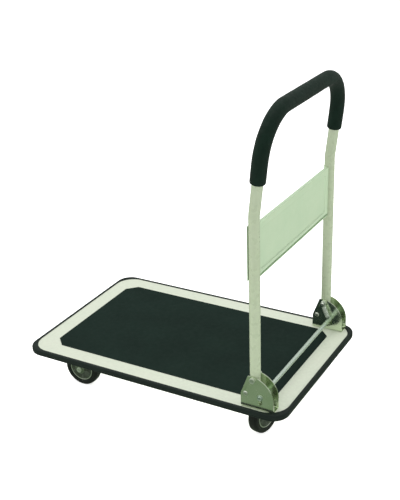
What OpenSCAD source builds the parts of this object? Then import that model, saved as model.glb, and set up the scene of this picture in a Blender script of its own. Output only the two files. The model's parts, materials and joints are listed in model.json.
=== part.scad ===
// Folding platform cart: a pressed steel deck on four casters, with a handle that folds flat.
// Origin on the floor under the middle of the deck. +X points to the handle end, +Y to the right
// of an operator who stands at the handle end and faces the deck, and +Z up.

/* [Deck] */
// Overall length over the rubber edge
deck_length = 740; // [735:1:745]
// Overall width over the rubber edge
deck_width = 480; // [478:1:484]
// Height of the steel deck's top above the floor
deck_height = 134.5; // [132:0.5:138]
// Thickness of the deck's steel sheet
sheet = 1.5; // [1.2:0.1:1.8]
// Depth of the hat-shaped cross members under the deck
member_depth = 12; // [10:0.5:13]
// Thickness of the anti-slip mat
mat_thick = 1.2; // [1:0.1:2]
// Bare border between the mat and the side edges
mat_inset_side = 52.7; // [48:0.1:56]
// Bare border between the mat and the front edge
mat_inset_front = 52.2; // [48:0.1:60]
// Bare border between the mat and the handle end's edge
mat_inset_rear = 54.5; // [50:0.1:60]
// Corner chamfer of the mat
mat_chamfer = 27; // [20:1:35]

/* [Rubber edge] */
// How far the rubber edge laps over the deck, from its outside
edge_lap = 8.8; // [7:0.1:10]
// Height of the rubber edge
edge_height = 16.8; // [16:0.1:18]
// Corner radius of the rubber edge's outside
edge_corner = 42; // [36:1:46]
// Corner radius of the deck's visible border
border_corner = 51; // [46:1:54]

/* [Handle] */
// Distance of the posts from the deck's middle
post_x = 289.6; // [285:0.1:292]
// Distance between the two posts' axes
post_spacing = 424; // [420:1:426]
// Outer diameter of the handle tube
tube_d = 25.4; // [25.4:0.1:25.4]
// Wall of the handle tube
tube_wall = 1.2; // [1:0.1:1.5]
// Height of the pivot bolt above the deck
pivot_above = 76.5; // [75:0.5:78]
// Height of the bend in the posts above the deck
bend_above = 478.5; // [470:1:485]
// Lean of the posts above the bend, in degrees
lean = 6.76; // [5:0.01:8]
// Length of the leaning part, measured along the post
lean_length = 223.6; // [215:0.1:230]
// Radius of the two top corners
corner_r = 100; // [90:1:110]
// Outer diameter of the foam grip
grip_d = 35.6; // [34:0.2:38]
// Straight stretch of foam below each top corner
grip_tail = 49; // [20:0.1:55]

/* [Handle panel] */
// Height of the panel's lower edge above the deck
panel_low = 325; // [300:1:340]
// Height of the panel
panel_height = 130; // [110:1:135]
// Width of the flat border around the pressed field
panel_border = 14; // [10:1:20]

/* [Casters] */
// Diameter of the wheels
wheel_d = 100; // [98:1:101]
// Width of the tread
tyre_width = 27; // [25:0.5:27]
// Distance of the fixed casters from the deck's middle, along the deck
fixed_x = 264; // [255:1:268]
// Distance of the fixed casters from the deck's middle line
fixed_y = 138; // [130:1:140]
// Distance of the swivel casters from the deck's middle, along the deck
swivel_x = 261; // [255:1:264]
// Distance of the swivel casters from the deck's middle line
swivel_y = 143.5; // [138:0.5:145]
// Offset of the swivel wheels behind their kingpins
trail = 25; // [22:0.5:28]
// Turn of both swivel casters at rest, in degrees
swivel_turn = 80; // [0:5:360]

/* [Hidden] */
$fn = 64;

left = -1;
right = 1;

// Colours
cream = [0.84, 0.88, 0.78];
panel_green = [0.74, 0.82, 0.70];
near_black = [0.13, 0.19, 0.17];
zinc = [0.62, 0.70, 0.60];
steel = [0.55, 0.58, 0.56];
rubber_black = [0.08, 0.09, 0.08];
core_grey = [0.45, 0.50, 0.44];

// Deck
deck_inset = 5;
skirt_corner = border_corner + edge_lap - deck_inset;
deck_under = deck_height - sheet;
mount_z = deck_under - member_depth;
edge_round = 4;
edge_lip = 1.8;
edge_top = deck_height + edge_lip;
edge_low = edge_top - edge_height;
edge_hook = 9;
member_width = 84;
member_flange = 15;
member_length = deck_width - 2 * deck_inset - 2 * sheet - 3;
front_member_x = -fixed_x;
rear_member_x = swivel_x;

// M8 fasteners
bolt_r = 4;
hole_r = 4.2;
hex_r = 7.5;
head_h = 5.3;
nut_h = 6.5;

// Running fits
axle_bore_r = 4.05;
king_r = 5;
king_bore_r = 5.05;

// Hinge brackets: a U channel astride each post, open towards both ends of the deck
post_y = post_spacing / 2;
tube_r = tube_d / 2;
plate_thick = 2;
channel_gap = 26;
channel_y = post_y - 0.2;
channel_width = channel_gap + 2 * plate_thick;
channel_bend = 4;
bracket_front = post_x - 31.1;
bracket_rear = post_x + 52.4;
bracket_knee = 35.5;
bracket_peak = [post_x - 12.6, 85];
bracket_arc_r = 58;
bracket_arc = [bracket_rear - bracket_arc_r, 27.5];
bracket_bolt_x = [bracket_front + 11.5, bracket_rear - 12];
lip_clear = 0.3;
pivot_z = deck_height + pivot_above;
stop_r = 6;
stop_x = post_x - tube_r - stop_r - 0.3;
stop_above = 37;
pivot_stub = 12;

// Lock bar: it sits beside the posts' lower ends and a foot presses it down in the slots
bar_r = 5;
bar_x = post_x + 18.7;
bar_above = 34;
bar_travel = 14.2;
slot_gap = 0.3;
bar_half = channel_y + channel_width / 2 + 3;
clip_r = 7.8;
clip_thick = 1.2;
spring_r = 6.5;
spring_y = channel_y - channel_width / 2 - 7.2;
spring_clear = 8;

// Handle tube
post_low = pivot_above - 38.5;
plug_flange = 1.5;
tube_low = deck_height + post_low + plug_flange;
bend_z = deck_height + bend_above;
bend_r = 90;
bend_cut = bend_r * tan(lean / 2);
bend_steps = 3;
corner_steps = 10;
tube_sides = 24;
plug_r = (tube_r - tube_wall) * cos(180 / tube_sides) - 0.05;
pivot_bush_r = 6;
pivot_bush_length = channel_gap - 0.4;
panel_sheet = 1.2;
panel_face_x = post_x + 2.6;
panel_recess = 2.5;
panel_lip = 8;
panel_half = post_y - 13;
saddle_r = tube_r + panel_sheet;
panel_flange = 8.5;
flange_root = 1;

// Casters
caster_plate = 3;
plate_long = 96;
plate_short = 80;
bolt_pitch_long = 76;
bolt_pitch_short = 60;
plate_low = mount_z - caster_plate;
wheel_r = wheel_d / 2;
tyre_round = 6;
rim_r = 34.5;
rim_half = 11.5;
hub_r = 11;
hub_half = 14;
bush_r = 6;
bush_half = 14.9;
fork_gap = 31;
fork_sheet = 2.5;
axle_boss_r = 13;
fork_out = fork_gap / 2 + fork_sheet;
leg_top_half = 28;
leg_lap = 1;
crown_low = wheel_d + 4.2;
crown_thick = 3;
crown_top = crown_low + crown_thick;
crown_r = 28;
crown_front = 20;
ball_r = 2.5;
ball_pitch = 18;
ball_count = 12;
ball_z = crown_top + ball_r + 0.1;
race_r = 25;
race_wall = 2.5;
race_top = crown_top + 4.6;
cup_low = ball_z + ball_r + 0.3;
king_head_r = 9;
king_head_h = 5;
king_gap = 0.3;

// ---------------------------------------------------------------- shared shapes

// A rectangle with round corners, centred
module rounded_rect(length, width, radius) {
    square([length - 2 * radius, width], center = true);
    square([length, width - 2 * radius], center = true);
    for (x = [-1, 1], y = [-1, 1])
        translate([x * (length / 2 - radius), y * (width / 2 - radius)])
            circle(radius);
}

// Lays a shape drawn in (x, z) upright, from y = 0 to y = depth
module upright(depth) {
    translate([0, depth, 0])
        rotate([90, 0, 0])
            linear_extrude(depth)
                children();
}

// A cylinder along +Y from y = 0
module rod_y(radius, length) {
    rotate([-90, 0, 0])
        cylinder(h = length, r = radius);
}

// A hexagon prism along +Y from y = 0
module hex_y(length) {
    rotate([-90, 0, 0])
        cylinder(h = length, r = hex_r, $fn = 6);
}

// Touch point on a circle about the origin of the line from a point outside it
function touch_point(point, radius) =
    let (turn = atan2(point[1], point[0]) - acos(radius / norm(point)))
    radius * [cos(turn), sin(turn)];

// ---------------------------------------------------------------- deck

module bracket_bolt_holes() {
    for (side = [left, right], x = bracket_bolt_x)
        translate([x, side * channel_y, deck_under - 1])
            cylinder(h = sheet + 2, r = hole_r);
}

module deck_outline(inset, radius) {
    rounded_rect(deck_length - 2 * inset, deck_width - 2 * inset, radius);
}

module deck_plate() {
    color(cream) {
        difference() {
            translate([0, 0, deck_under])
                linear_extrude(sheet)
                    deck_outline(deck_inset, skirt_corner);
            bracket_bolt_holes();
        }
        translate([0, 0, mount_z])
            linear_extrude(member_depth)
                difference() {
                    deck_outline(deck_inset, skirt_corner);
                    deck_outline(deck_inset + sheet, skirt_corner - sheet);
                }
    }
}

module hat_section() {
    half = member_width / 2;
    translate([-half, 0])
        square([member_width, sheet]);
    for (side = [0, 1])
        mirror([side, 0]) {
            translate([half - sheet, 0])
                square([sheet, member_depth]);
            translate([half - sheet, member_depth - sheet])
                square([member_flange + sheet, sheet]);
        }
}

module cross_member(x, caster_y) {
    color(cream)
        difference() {
            translate([x, -member_length / 2, mount_z])
                upright(member_length)
                    hat_section();
            for (side = [left, right])
                translate([x, side * caster_y, mount_z])
                    caster_bolt_places()
                        translate([0, 0, -1])
                            cylinder(h = sheet + 2, r = hole_r);
        }
}

module front_cross_member() {
    cross_member(front_member_x, fixed_y);
}

module rear_cross_member() {
    cross_member(rear_member_x, swivel_y);
}

// Section of a slab with half-round edges, as wide as span
module slab_section(span) {
    translate([-span / 2 + edge_round, edge_low])
        square([span - 2 * edge_round, edge_height]);
    translate([-span / 2, edge_low + edge_round])
        square([span, edge_height - 2 * edge_round]);
    for (side = [-1, 1], z = [edge_low + edge_round, edge_top - edge_round])
        translate([side * (span / 2 - edge_round), z])
            circle(edge_round);
}

module corner_section() {
    intersection() {
        slab_section(2 * edge_corner);
        translate([0, edge_low])
            square([edge_corner, edge_height]);
    }
}

module edge_slab() {
    translate([0, -(deck_width / 2 - edge_corner), 0])
        upright(deck_width - 2 * edge_corner)
            slab_section(deck_length);
    rotate([0, 0, 90])
        translate([0, -(deck_length / 2 - edge_corner), 0])
            upright(deck_length - 2 * edge_corner)
                slab_section(deck_width);
    for (x = [-1, 1], y = [-1, 1])
        translate([x * (deck_length / 2 - edge_corner), y * (deck_width / 2 - edge_corner), 0])
            rotate_extrude()
                corner_section();
}

module edge_bumper() {
    color(near_black)
        difference() {
            edge_slab();
            translate([0, 0, mount_z])
                linear_extrude(deck_height - mount_z)
                    deck_outline(deck_inset, skirt_corner);
            translate([0, 0, deck_height - 1])
                linear_extrude(edge_lip + 2)
                    deck_outline(edge_lap, border_corner);
            translate([0, 0, edge_low - 1])
                linear_extrude(mount_z - edge_low + 2)
                    deck_outline(edge_hook, border_corner);
        }
}

module anti_slip_mat() {
    front = -deck_length / 2 + mat_inset_front;
    rear = deck_length / 2 - mat_inset_rear;
    half = deck_width / 2 - mat_inset_side;
    color(near_black)
        translate([0, 0, deck_height])
            linear_extrude(mat_thick)
                polygon([
                    [front, -half + mat_chamfer], [front + mat_chamfer, -half],
                    [rear - mat_chamfer, -half], [rear, -half + mat_chamfer],
                    [rear, half - mat_chamfer], [rear - mat_chamfer, half],
                    [front + mat_chamfer, half], [front, half - mat_chamfer]
                ]);
}

// ---------------------------------------------------------------- hinge brackets

// Solid with the side view of a bracket plate, as deep as depth along +Y; its foot is on the deck
module bracket_block(depth) {
    reach = 2 * bracket_arc_r;
    back = bracket_peak - bracket_arc;
    seam = 6;
    intersection() {
        translate([bracket_arc[0], 0, bracket_arc[1]])
            rod_y(bracket_arc_r, depth, $fn = 96);
        translate([bracket_arc[0], 0, bracket_arc[1]])
            upright(depth)
                polygon([[-seam, -seam], [reach, -seam], [reach, reach], [back[0], reach], back]);
    }
    upright(depth)
        polygon([
            [bracket_front, 0], [bracket_front, bracket_knee], bracket_peak,
            bracket_arc, [bracket_rear, bracket_arc[1]], [bracket_rear, 0]
        ]);
}

module channel_section() {
    height = bracket_arc_r + bracket_arc[1] + 10;
    difference() {
        union() {
            translate([-channel_width / 2, channel_bend])
                square([channel_width, height]);
            translate([-channel_width / 2 + channel_bend, 0])
                square([channel_width - 2 * channel_bend, height]);
            for (side = [-1, 1])
                translate([side * (channel_width / 2 - channel_bend), channel_bend])
                    circle(channel_bend);
        }
        translate([-channel_gap / 2, channel_bend])
            square([channel_gap, height + 1]);
        translate([-channel_width / 2 + channel_bend, plate_thick])
            square([channel_width - 2 * channel_bend, height + 1]);
        for (side = [-1, 1])
            translate([side * (channel_width / 2 - channel_bend), channel_bend])
                circle(channel_bend - plate_thick);
    }
}

module bar_slot() {
    for (drop = [0, bar_travel])
        translate([bar_x, bar_above - drop])
            circle(bar_r + slot_gap);
    translate([bar_x - bar_r - slot_gap, bar_above - bar_travel])
        square([2 * (bar_r + slot_gap), bar_travel]);
}

module hinge_bracket(side) {
    color(zinc)
        difference() {
            intersection() {
                translate([bracket_front, side * channel_y, deck_height])
                    rotate([90, 0, 90])
                        linear_extrude(bracket_rear - bracket_front)
                            channel_section();
                translate([0, side * channel_y - channel_width, deck_height])
                    bracket_block(2 * channel_width);
            }
            translate([0, side * channel_y - channel_width, deck_height])
                upright(2 * channel_width)
                    bar_slot();
            translate([post_x, side * channel_y - channel_width, pivot_z])
                rod_y(bolt_r + 0.1, 2 * channel_width);
            translate([stop_x, side * channel_y - channel_width, deck_height + stop_above])
                rod_y(bolt_r, 2 * channel_width);
            for (x = bracket_bolt_x)
                translate([x, side * channel_y, deck_height - 1])
                    cylinder(h = plate_thick + 2, r = hole_r);
            // relief at the foot for the lip of the rubber edge
            translate([0, 0, deck_height - 1])
                linear_extrude(1 + edge_lip + lip_clear)
                    difference() {
                        square([deck_length, deck_width], center = true);
                        deck_outline(edge_lap + lip_clear, border_corner);
                    }
        }
}

module left_bracket() {
    hinge_bracket(left);
}

module right_bracket() {
    hinge_bracket(right);
}

module bracket_bolts() {
    color(zinc)
        for (side = [left, right], x = bracket_bolt_x)
            translate([x, side * channel_y, 0]) {
                translate([0, 0, deck_height + plate_thick])
                    cylinder(h = head_h, r = hex_r, $fn = 6);
                translate([0, 0, deck_under - nut_h - 1.5])
                    cylinder(h = sheet + plate_thick + nut_h + 1.5, r = bolt_r);
            }
}

module bracket_nuts() {
    color(zinc)
        for (side = [left, right], x = bracket_bolt_x)
            translate([x, side * channel_y, deck_under - nut_h])
                difference() {
                    cylinder(h = nut_h, r = hex_r, $fn = 6);
                    translate([0, 0, -1])
                        cylinder(h = nut_h + 2, r = bolt_r);
                }
}

module stop_bushes() {
    color(zinc)
        for (side = [left, right])
            translate([stop_x, side * channel_y - channel_gap / 2, deck_height + stop_above])
                difference() {
                    rod_y(stop_r, channel_gap);
                    translate([0, -1, 0])
                        rod_y(bolt_r, channel_gap + 2);
                }
}

module stop_rivets() {
    head = 2.4;
    color(zinc)
        for (side = [left, right])
            translate([stop_x, side * channel_y - channel_width / 2, deck_height + stop_above]) {
                rod_y(bolt_r, channel_width);
                rotate([90, 0, 0])
                    cylinder(h = head, r1 = stop_r, r2 = stop_r - 1.8);
                translate([0, channel_width, 0])
                    rotate([-90, 0, 0])
                        cylinder(h = head, r1 = stop_r, r2 = stop_r - 1.8);
            }
}

// Places its children on a post's pivot, with +Y pointing outwards
module at_pivot(side) {
    mirror([0, side == left ? 1 : 0, 0])
        translate([post_x, channel_y, pivot_z])
            children();
}

module pivot_bolts() {
    half = channel_width / 2;
    color(zinc)
        for (side = [left, right])
            at_pivot(side) {
                translate([0, half, 0])
                    hex_y(head_h);
                translate([0, -half - pivot_stub, 0])
                    rod_y(bolt_r, 2 * half + pivot_stub);
            }
}

module pivot_nuts() {
    color(zinc)
        for (side = [left, right])
            at_pivot(side)
                translate([0, -channel_width / 2 - head_h, 0])
                    difference() {
                        hex_y(head_h);
                        translate([0, -1, 0])
                            rod_y(bolt_r, head_h + 2);
                    }
}

// Tension spring from the pivot bolt's inner end down to the lock bar
module lock_spring(side) {
    drop = pivot_above - bar_above;
    run = bar_x - post_x;
    span = norm([run, drop]);
    color(zinc)
        translate([post_x, side * spring_y, pivot_z])
            rotate([0, 180 - atan2(run, drop), 0])
                translate([0, 0, spring_clear])
                    cylinder(h = span - 2 * spring_clear, r = spring_r);
}

module left_lock_spring() {
    lock_spring(left);
}

module right_lock_spring() {
    lock_spring(right);
}

// ---------------------------------------------------------------- handle

// The tube's upper part, filled to a radius; start is how far above the bend it begins
module upper_run(radius, start) {
    top_half = post_y - corner_r;
    leg_end = lean_length - corner_r;
    translate([post_x, 0, bend_z])
        rotate([0, lean, 0]) {
            for (side = [left, right])
                translate([0, side * post_y, start])
                    cylinder(h = leg_end - start, r = radius);
            for (side = [0, 1])
                mirror([0, side, 0])
                    translate([0, top_half, leg_end])
                        rotate([90, 0, 90])
                            rotate_extrude(angle = 90)
                                translate([corner_r, 0])
                                    circle(radius);
            translate([0, -top_half, lean_length])
                rod_y(radius, 2 * top_half);
        }
}

// Stations along the tube's centre line, from one post's foot to the middle of the top: each is
// [point, direction of travel, normal of the handle's plane]
function lean_normal(angle) = [cos(angle), 0, -sin(angle)];
function lean_up(angle) = [sin(angle), 0, cos(angle)];
function upper_point(y, along) =
    [post_x, 0, bend_z] + along * lean_up(lean) + [0, y, 0];
function bend_station(angle) = [
    [post_x + bend_r * (1 - cos(angle)), -post_y, bend_z - bend_cut + bend_r * sin(angle)],
    lean_up(angle),
    lean_normal(angle)
];
function corner_station(angle) = [
    upper_point(-post_y + corner_r * (1 - cos(angle)), lean_length - corner_r * (1 - sin(angle))),
    cos(angle) * lean_up(lean) + [0, sin(angle), 0],
    lean_normal(lean)
];
function mirrored(station) = [
    [station[0][0], -station[0][1], station[0][2]],
    [-station[1][0], station[1][1], -station[1][2]],
    station[2]
];

// The corners of the tube's wall at one station, on the circle of a radius
function ring(station, radius) = [
    for (i = [0 : tube_sides - 1])
        let (turn = i * 360 / tube_sides)
        station[0] + radius * (cos(turn) * station[2] + sin(turn) * cross(station[1], station[2]))
];

module handle_tube_blank() {
    half = concat(
        [[[post_x, -post_y, tube_low], lean_up(0), lean_normal(0)]],
        [for (i = [0 : bend_steps]) bend_station(i * lean / bend_steps)],
        [for (i = [0 : corner_steps]) corner_station(i * 90 / corner_steps)]
    );
    last = len(half) - 1;
    path = concat(half, [for (i = [0 : last]) mirrored(half[last - i])]);
    stations = len(path);
    inside = stations * tube_sides;
    polyhedron(
        points = [
            for (radius = [tube_r, tube_r - tube_wall], station = path)
                each ring(station, radius)
        ],
        faces = [
            for (s = [0 : stations - 2], i = [0 : tube_sides - 1])
                let (j = (i + 1) % tube_sides, a = s * tube_sides, b = a + tube_sides)
                each [
                    [a + i, b + i, b + j, a + j],
                    [inside + a + j, inside + b + j, inside + b + i, inside + a + i]
                ],
            for (i = [0 : tube_sides - 1])
                let (j = (i + 1) % tube_sides, e = inside - tube_sides)
                each [[i, j, inside + j, inside + i], [e + j, e + i, inside + e + i, inside + e + j]]
        ]
    );
}

module handle_tube() {
    color(cream)
        difference() {
            handle_tube_blank();
            for (side = [left, right])
                translate([post_x, side * post_y - tube_r - 1, pivot_z])
                    rod_y(pivot_bush_r, 2 * tube_r + 2);
        }
}

module handle_panel() {
    low = deck_height + panel_low;
    face_back = panel_face_x - panel_recess - panel_sheet;
    field = [2 * (panel_half - panel_border), panel_height - 2 * panel_border];
    color(panel_green) {
        // flat border
        difference() {
            translate([panel_face_x - panel_sheet, -panel_half, low])
                cube([panel_sheet, 2 * panel_half, panel_height]);
            translate([panel_face_x - panel_sheet - 1, -field[0] / 2, low + panel_border])
                cube([panel_sheet + 2, field[0], field[1]]);
        }
        // step down to the pressed field
        difference() {
            translate([face_back, -field[0] / 2 - panel_sheet, low + panel_border - panel_sheet])
                cube([panel_recess + panel_sheet, field[0] + 2 * panel_sheet, field[1] + 2 * panel_sheet]);
            translate([face_back - 1, -field[0] / 2, low + panel_border])
                cube([panel_recess + panel_sheet + 2, field[0], field[1]]);
        }
        translate([face_back, -field[0] / 2, low + panel_border])
            cube([panel_sheet, field[0], field[1]]);
        // folded upper and lower edges
        for (z = [low, low + panel_height - panel_sheet])
            translate([panel_face_x - panel_lip, -panel_half - 0.8, z])
                cube([panel_lip, 2 * panel_half + 1.6, panel_sheet]);
        // half-round ends that hug the posts, each with a flat flange beyond the post's axis
        for (side = [0, 1])
            mirror([0, side, 0])
                translate([post_x, post_y, low]) {
                    intersection() {
                        difference() {
                            cylinder(h = panel_height, r = saddle_r);
                            translate([0, 0, -1])
                                cylinder(h = panel_height + 2, r = tube_r);
                        }
                        translate([-2 * tube_r, -2 * tube_r, -1])
                            cube([2 * tube_r + panel_face_x - post_x, 2 * tube_r, panel_height + 2]);
                    }
                    translate([-saddle_r, -flange_root, 0])
                        cube([panel_sheet, panel_flange + flange_root, panel_height]);
                }
    }
}

module foam_grip() {
    start = lean_length - corner_r - grip_tail;
    color(near_black)
        difference() {
            upper_run(grip_d / 2, start);
            upper_run(tube_r, start - 1);
        }
}

module pivot_bushes() {
    color(zinc)
        for (side = [left, right])
            translate([post_x, side * channel_y - pivot_bush_length / 2, pivot_z])
                difference() {
                    rod_y(pivot_bush_r, pivot_bush_length);
                    translate([0, -1, 0])
                        rod_y(axle_bore_r, pivot_bush_length + 2);
                }
}

module post_end_plugs() {
    depth = 10;
    color(rubber_black)
        for (side = [left, right])
            translate([post_x, side * post_y, tube_low]) {
                cylinder(h = depth, r = plug_r);
                translate([0, 0, -plug_flange])
                    cylinder(h = plug_flange, r = tube_r);
            }
}

// ---------------------------------------------------------------- lock bar

module lock_bar() {
    chamfer = 1;
    color(zinc)
        translate([bar_x, 0, deck_height + bar_above])
            for (side = [0, 1])
                mirror([0, side, 0])
                    difference() {
                        union() {
                            rod_y(bar_r, bar_half - chamfer);
                            translate([0, bar_half - chamfer, 0])
                                rotate([-90, 0, 0])
                                    cylinder(h = chamfer, r1 = bar_r, r2 = bar_r - chamfer);
                        }
                        translate([0, bar_half - 4, 0])
                            rod_y(bar_r / 2, 5);
                    }
}

module lock_bar_clips() {
    place = channel_y + channel_width / 2 + 0.3;
    color(steel)
        translate([bar_x, 0, deck_height + bar_above])
            for (side = [0, 1])
                mirror([0, side, 0])
                    translate([0, place, 0])
                        difference() {
                            rod_y(clip_r, clip_thick);
                            translate([0, -1, 0])
                                rod_y(bar_r, clip_thick + 2);
                        }
}

// ---------------------------------------------------------------- casters

module caster_bolt_places() {
    for (x = [-1, 1], y = [-1, 1])
        translate([x * bolt_pitch_short / 2, y * bolt_pitch_long / 2, 0])
            children();
}

// Puts its children under each caster's plate, at the height of the cross member's underside
module at_each_caster() {
    for (side = [left, right]) {
        translate([front_member_x, side * fixed_y, mount_z])
            children();
        translate([rear_member_x, side * swivel_y, mount_z])
            children();
    }
}

module caster_bolts() {
    color(zinc)
        at_each_caster()
            caster_bolt_places() {
                translate([0, 0, -caster_plate - head_h])
                    cylinder(h = head_h, r = hex_r, $fn = 6);
                translate([0, 0, -caster_plate])
                    cylinder(h = caster_plate + sheet + nut_h, r = bolt_r);
            }
}

module caster_nuts() {
    color(zinc)
        at_each_caster()
            caster_bolt_places()
                translate([0, 0, sheet])
                    difference() {
                        cylinder(h = nut_h, r = hex_r, $fn = 6);
                        translate([0, 0, -1])
                            cylinder(h = nut_h + 2, r = bolt_r);
                    }
}

module caster_plate() {
    difference() {
        translate([-plate_short / 2, -plate_long / 2, plate_low])
            cube([plate_short, plate_long, caster_plate]);
        translate([0, 0, plate_low - 1])
            caster_bolt_places()
                cylinder(h = caster_plate + 2, r = hole_r);
    }
}

// One fork leg, drawn in (x, z): a wide top at height, tapering to the axle boss at axle_x
module leg_outline(front, rear, height, axle_x) {
    axle = [axle_x, wheel_r];
    rear_touch = touch_point([rear, height] - axle, axle_boss_r);
    front_touch = touch_point([axle_x - front, height - wheel_r], axle_boss_r);
    difference() {
        union() {
            polygon([
                [front, height], [rear, height], axle + rear_touch,
                axle, axle + [-front_touch[0], front_touch[1]]
            ]);
            translate(axle)
                circle(axle_boss_r);
        }
        translate(axle)
            circle(bolt_r + 0.1);
    }
}

module fork_legs(front, rear, height, axle_x) {
    for (y = [-fork_out, fork_gap / 2])
        translate([0, y, 0])
            upright(fork_sheet)
                leg_outline(front, rear, height, axle_x);
}

module fixed_fork() {
    color(zinc) {
        caster_plate();
        fork_legs(-leg_top_half, leg_top_half, plate_low + leg_lap, 0);
    }
}

module axle_bolt(x) {
    color(zinc)
        translate([x, 0, wheel_r]) {
            translate([0, -fork_out - head_h, 0])
                hex_y(head_h);
            translate([0, -fork_out, 0])
                rod_y(bolt_r, 2 * fork_out + nut_h + 2);
        }
}

module axle_nut(x) {
    color(zinc)
        translate([x, fork_out, wheel_r])
            difference() {
                hex_y(nut_h);
                translate([0, -1, 0])
                    rod_y(bolt_r, nut_h + 2);
            }
}

module wheel_turned(x) {
    translate([x, 0, wheel_r])
        rotate([-90, 0, 0])
            rotate_extrude($fn = 96)
                children();
}

module tyre(x) {
    half = tyre_width / 2;
    color(rubber_black)
        wheel_turned(x)
            union() {
                translate([rim_r, -half])
                    square([wheel_r - rim_r - tyre_round, tyre_width]);
                translate([rim_r, -half + tyre_round])
                    square([wheel_r - rim_r, tyre_width - 2 * tyre_round]);
                for (side = [-1, 1])
                    translate([wheel_r - tyre_round, side * (half - tyre_round)])
                        circle(tyre_round);
            }
}

module rim(x) {
    web_half = 4;
    band = 2.5;
    color(core_grey)
        wheel_turned(x)
            union() {
                translate([bush_r, -hub_half])
                    square([hub_r - bush_r, 2 * hub_half]);
                translate([hub_r, -web_half])
                    square([rim_r - hub_r - band, 2 * web_half]);
                translate([rim_r - band, -rim_half])
                    square([band, 2 * rim_half]);
            }
}

module bush(x) {
    color(steel)
        wheel_turned(x)
            translate([axle_bore_r, -bush_half])
                square([bush_r - axle_bore_r, 2 * bush_half]);
}

module top_plate() {
    color(zinc)
        difference() {
            union() {
                caster_plate();
                translate([0, 0, cup_low])
                    cylinder(h = plate_low - cup_low, r = race_r);
            }
            translate([0, 0, cup_low - 1])
                cylinder(h = mount_z - cup_low + 2, r = king_r);
        }
}

module kingpin() {
    head_low = crown_low - king_gap - king_head_h;
    color(zinc)
        translate([0, 0, head_low]) {
            cylinder(h = king_head_h, r = king_head_r);
            cylinder(h = mount_z - head_low, r = king_r);
        }
}

module balls() {
    color(steel)
        for (i = [0 : ball_count - 1])
            rotate([0, 0, i * 360 / ball_count])
                translate([ball_pitch, 0, ball_z])
                    sphere(ball_r, $fn = 24);
}

module swivel_fork() {
    rear = trail + 8;
    color(zinc) {
        difference() {
            union() {
                translate([0, 0, crown_low])
                    cylinder(h = crown_thick, r = crown_r);
                translate([-crown_front, -fork_out, crown_low])
                    cube([crown_front + rear, 2 * fork_out, crown_thick]);
                translate([0, 0, crown_top])
                    cylinder(h = race_top - crown_top, r = race_r);
            }
            translate([0, 0, crown_low - 1])
                cylinder(h = race_top, r = king_bore_r);
            translate([0, 0, crown_top])
                cylinder(h = race_top, r = race_r - race_wall);
        }
        fork_legs(-crown_front, rear, crown_low, trail);
    }
}

// Puts its children under the fixed caster on one side, with +Y pointing inwards
module at_fixed(side) {
    mirror([0, side == right ? 1 : 0, 0])
        translate([front_member_x, -fixed_y, 0])
            children();
}

// Puts its children on the kingpin on one side, turned as the swivel casters stand
module at_kingpin(side) {
    translate([rear_member_x, side * swivel_y, 0])
        rotate([0, 0, swivel_turn])
            children();
}

module at_top_plate(side) {
    translate([rear_member_x, side * swivel_y, 0])
        children();
}

module left_front_fork() { at_fixed(left) fixed_fork(); }
module left_front_axle() { at_fixed(left) axle_bolt(0); }
module left_front_axle_nut() { at_fixed(left) axle_nut(0); }
module left_front_tyre() { at_fixed(left) tyre(0); }
module left_front_rim() { at_fixed(left) rim(0); }
module left_front_bush() { at_fixed(left) bush(0); }
module right_front_fork() { at_fixed(right) fixed_fork(); }
module right_front_axle() { at_fixed(right) axle_bolt(0); }
module right_front_axle_nut() { at_fixed(right) axle_nut(0); }
module right_front_tyre() { at_fixed(right) tyre(0); }
module right_front_rim() { at_fixed(right) rim(0); }
module right_front_bush() { at_fixed(right) bush(0); }
module left_rear_top_plate() { at_top_plate(left) top_plate(); }
module left_rear_kingpin() { at_top_plate(left) kingpin(); }
module left_rear_balls() { at_kingpin(left) balls(); }
module left_rear_fork() { at_kingpin(left) swivel_fork(); }
module left_rear_axle() { at_kingpin(left) axle_bolt(trail); }
module left_rear_axle_nut() { at_kingpin(left) axle_nut(trail); }
module left_rear_tyre() { at_kingpin(left) tyre(trail); }
module left_rear_rim() { at_kingpin(left) rim(trail); }
module left_rear_bush() { at_kingpin(left) bush(trail); }
module right_rear_top_plate() { at_top_plate(right) top_plate(); }
module right_rear_kingpin() { at_top_plate(right) kingpin(); }
module right_rear_balls() { at_kingpin(right) balls(); }
module right_rear_fork() { at_kingpin(right) swivel_fork(); }
module right_rear_axle() { at_kingpin(right) axle_bolt(trail); }
module right_rear_axle_nut() { at_kingpin(right) axle_nut(trail); }
module right_rear_tyre() { at_kingpin(right) tyre(trail); }
module right_rear_rim() { at_kingpin(right) rim(trail); }
module right_rear_bush() { at_kingpin(right) bush(trail); }

deck_plate();
front_cross_member();
rear_cross_member();
edge_bumper();
anti_slip_mat();
left_bracket();
right_bracket();
bracket_bolts();
bracket_nuts();
stop_bushes();
stop_rivets();
pivot_bolts();
pivot_nuts();
left_lock_spring();
right_lock_spring();
handle_tube();
handle_panel();
foam_grip();
pivot_bushes();
post_end_plugs();
lock_bar();
lock_bar_clips();
caster_bolts();
caster_nuts();
left_front_fork();
left_front_axle();
left_front_axle_nut();
left_front_tyre();
left_front_rim();
left_front_bush();
right_front_fork();
right_front_axle();
right_front_axle_nut();
right_front_tyre();
right_front_rim();
right_front_bush();
left_rear_top_plate();
left_rear_kingpin();
left_rear_balls();
left_rear_fork();
left_rear_axle();
left_rear_axle_nut();
left_rear_tyre();
left_rear_rim();
left_rear_bush();
right_rear_top_plate();
right_rear_kingpin();
right_rear_balls();
right_rear_fork();
right_rear_axle();
right_rear_axle_nut();
right_rear_tyre();
right_rear_rim();
right_rear_bush();
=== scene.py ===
import json
import math

import bmesh
import bpy
import numpy as np
from mathutils import Matrix, Vector, noise

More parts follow.
